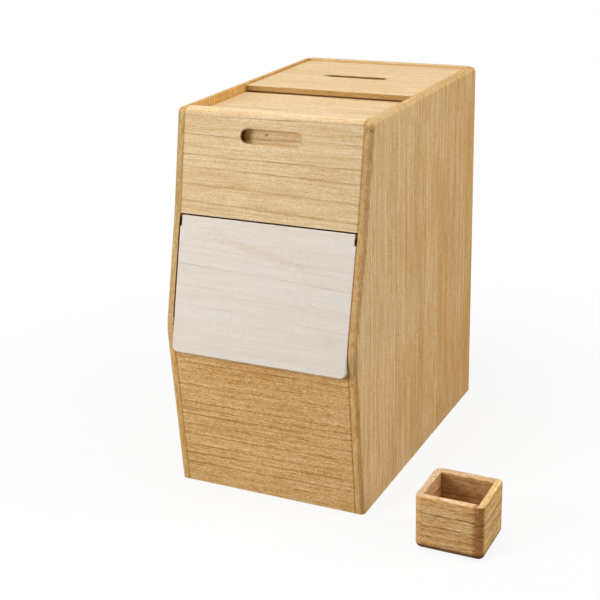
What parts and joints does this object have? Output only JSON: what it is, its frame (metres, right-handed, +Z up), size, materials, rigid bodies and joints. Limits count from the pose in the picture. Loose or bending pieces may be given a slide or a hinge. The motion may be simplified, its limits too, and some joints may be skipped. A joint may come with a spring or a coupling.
{
  "type": "rice chest",
  "caption": "Wooden rice chest with a sliding lid on top, a swinging scoop flap at the front and a small square measuring box.",
  "frame": {"origin": "middle of the chest's width and depth, on the underside of its bottom board", "axes": "+X to the right as seen from the front, -Y out of the front, +Z up"},
  "size_m": [0.3958, 0.4242, 0.45],
  "materials": {
    "side_wood": "satin",
    "front_wood": "satin",
    "top_wood": "satin",
    "pale_wood": "matte",
    "inner_wood": "matte",
    "box_wood": "satin",
    "pin_steel": "brushed",
    "washer_nylon": "matte"
  },
  "bodies": {
    "case": {"side_panel_left": "side_wood", "side_panel_right": "side_wood", "back_panel": "side_wood", "upper_front_panel": "front_wood", "lower_front_panel": "front_wood", "front_top_board": "top_wood", "lid_rail_left": "inner_wood", "lid_rail_right": "inner_wood", "bottom_board": "inner_wood", "sloped_floor": "inner_wood", "slope_bearer_left": "inner_wood", "slope_bearer_right": "inner_wood", "pivot_pin_left": "pin_steel", "pivot_pin_right": "pin_steel", "pivot_washer_left": "washer_nylon", "pivot_washer_right": "washer_nylon"},
    "flap": {"flap": "pale_wood"},
    "lid": {"lid": "top_wood"},
    "measuring_box": {"box_wall_left": "box_wood", "box_wall_right": "box_wood", "box_wall_front": "box_wood", "box_wall_back": "box_wood", "box_floor": "box_wood"}
  },
  "joints": [
    {"name": "flap_hinge", "type": "hinge", "parent": "case", "child": "flap", "pos_m": [0, -0.1654, 0.32275], "axis": [-1, 0, 0], "range_deg": [0, 130]},
    {"name": "lid_slide", "type": "slide", "parent": "case", "child": "lid", "axis": [0, -1, 0], "range_m": [0, 0.132]},
    {"name": "box_lift", "type": "slide", "parent": "case", "child": "measuring_box", "axis": [0, 0, 1], "range_m": [0, 0.12]}
  ]
}
